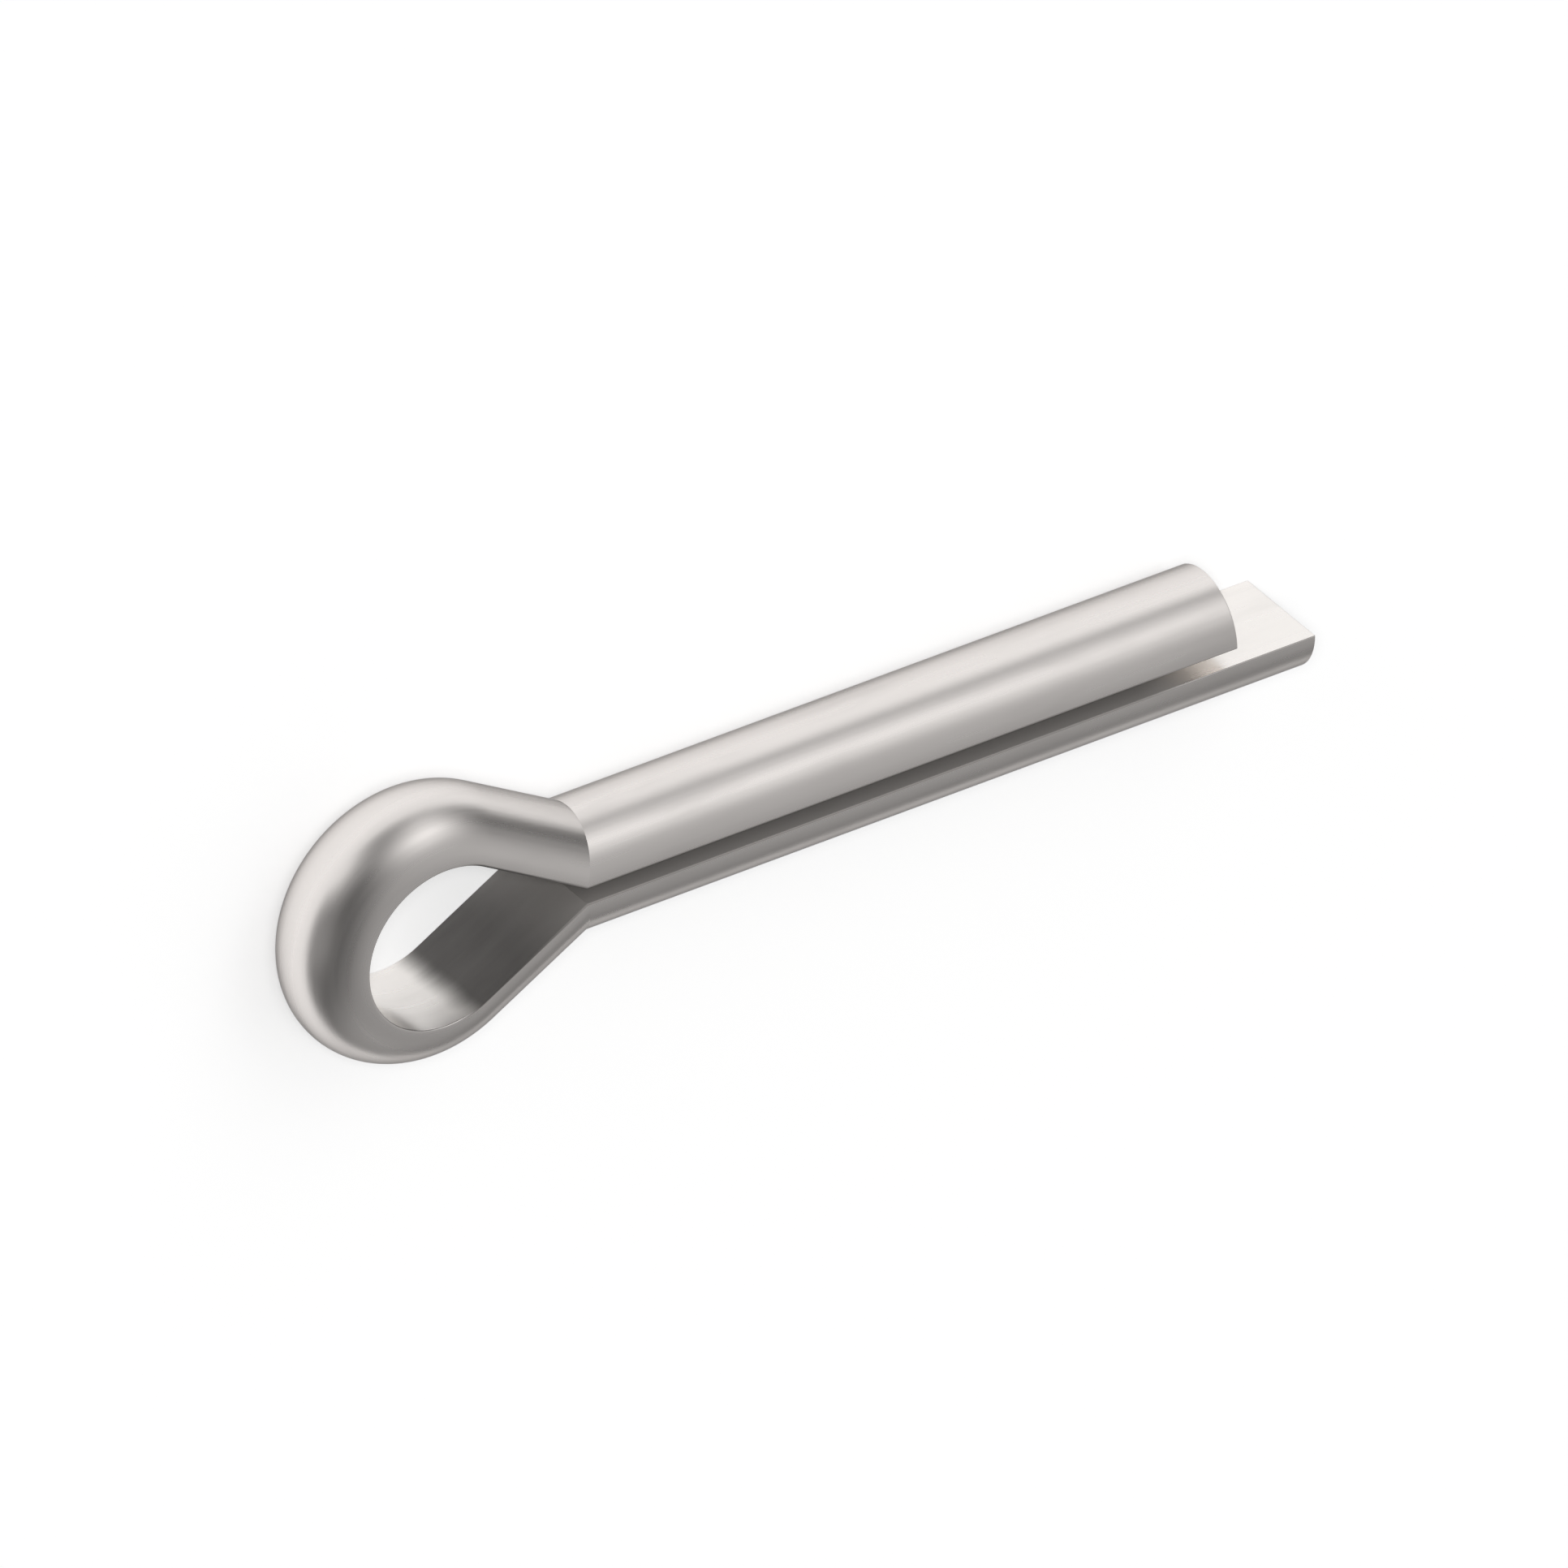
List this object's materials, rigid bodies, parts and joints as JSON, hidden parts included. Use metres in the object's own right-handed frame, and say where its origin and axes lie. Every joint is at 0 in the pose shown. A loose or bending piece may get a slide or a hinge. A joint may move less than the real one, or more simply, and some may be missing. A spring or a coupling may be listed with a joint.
{
  "type": "cotter pin",
  "caption": "Split cotter pin bent from half-round wire, with a teardrop eye, a creased neck and straight parallel prongs of unequal length.",
  "frame": {"origin": "on the axis of the shank, level with the neck, where the flats of the prongs turn out towards the eye", "axes": "+X along the shank to the tips, +Y towards the short prong, +Z along the axis of the eye, which is up as the pin lies on its side"},
  "size_m": [0.0291, 0.0074, 0.003],
  "materials": {
    "steel": "satin drawn stainless wire"
  },
  "bodies": {
    "root": {"cotter_pin": "steel"}
  },
  "joints": []
}
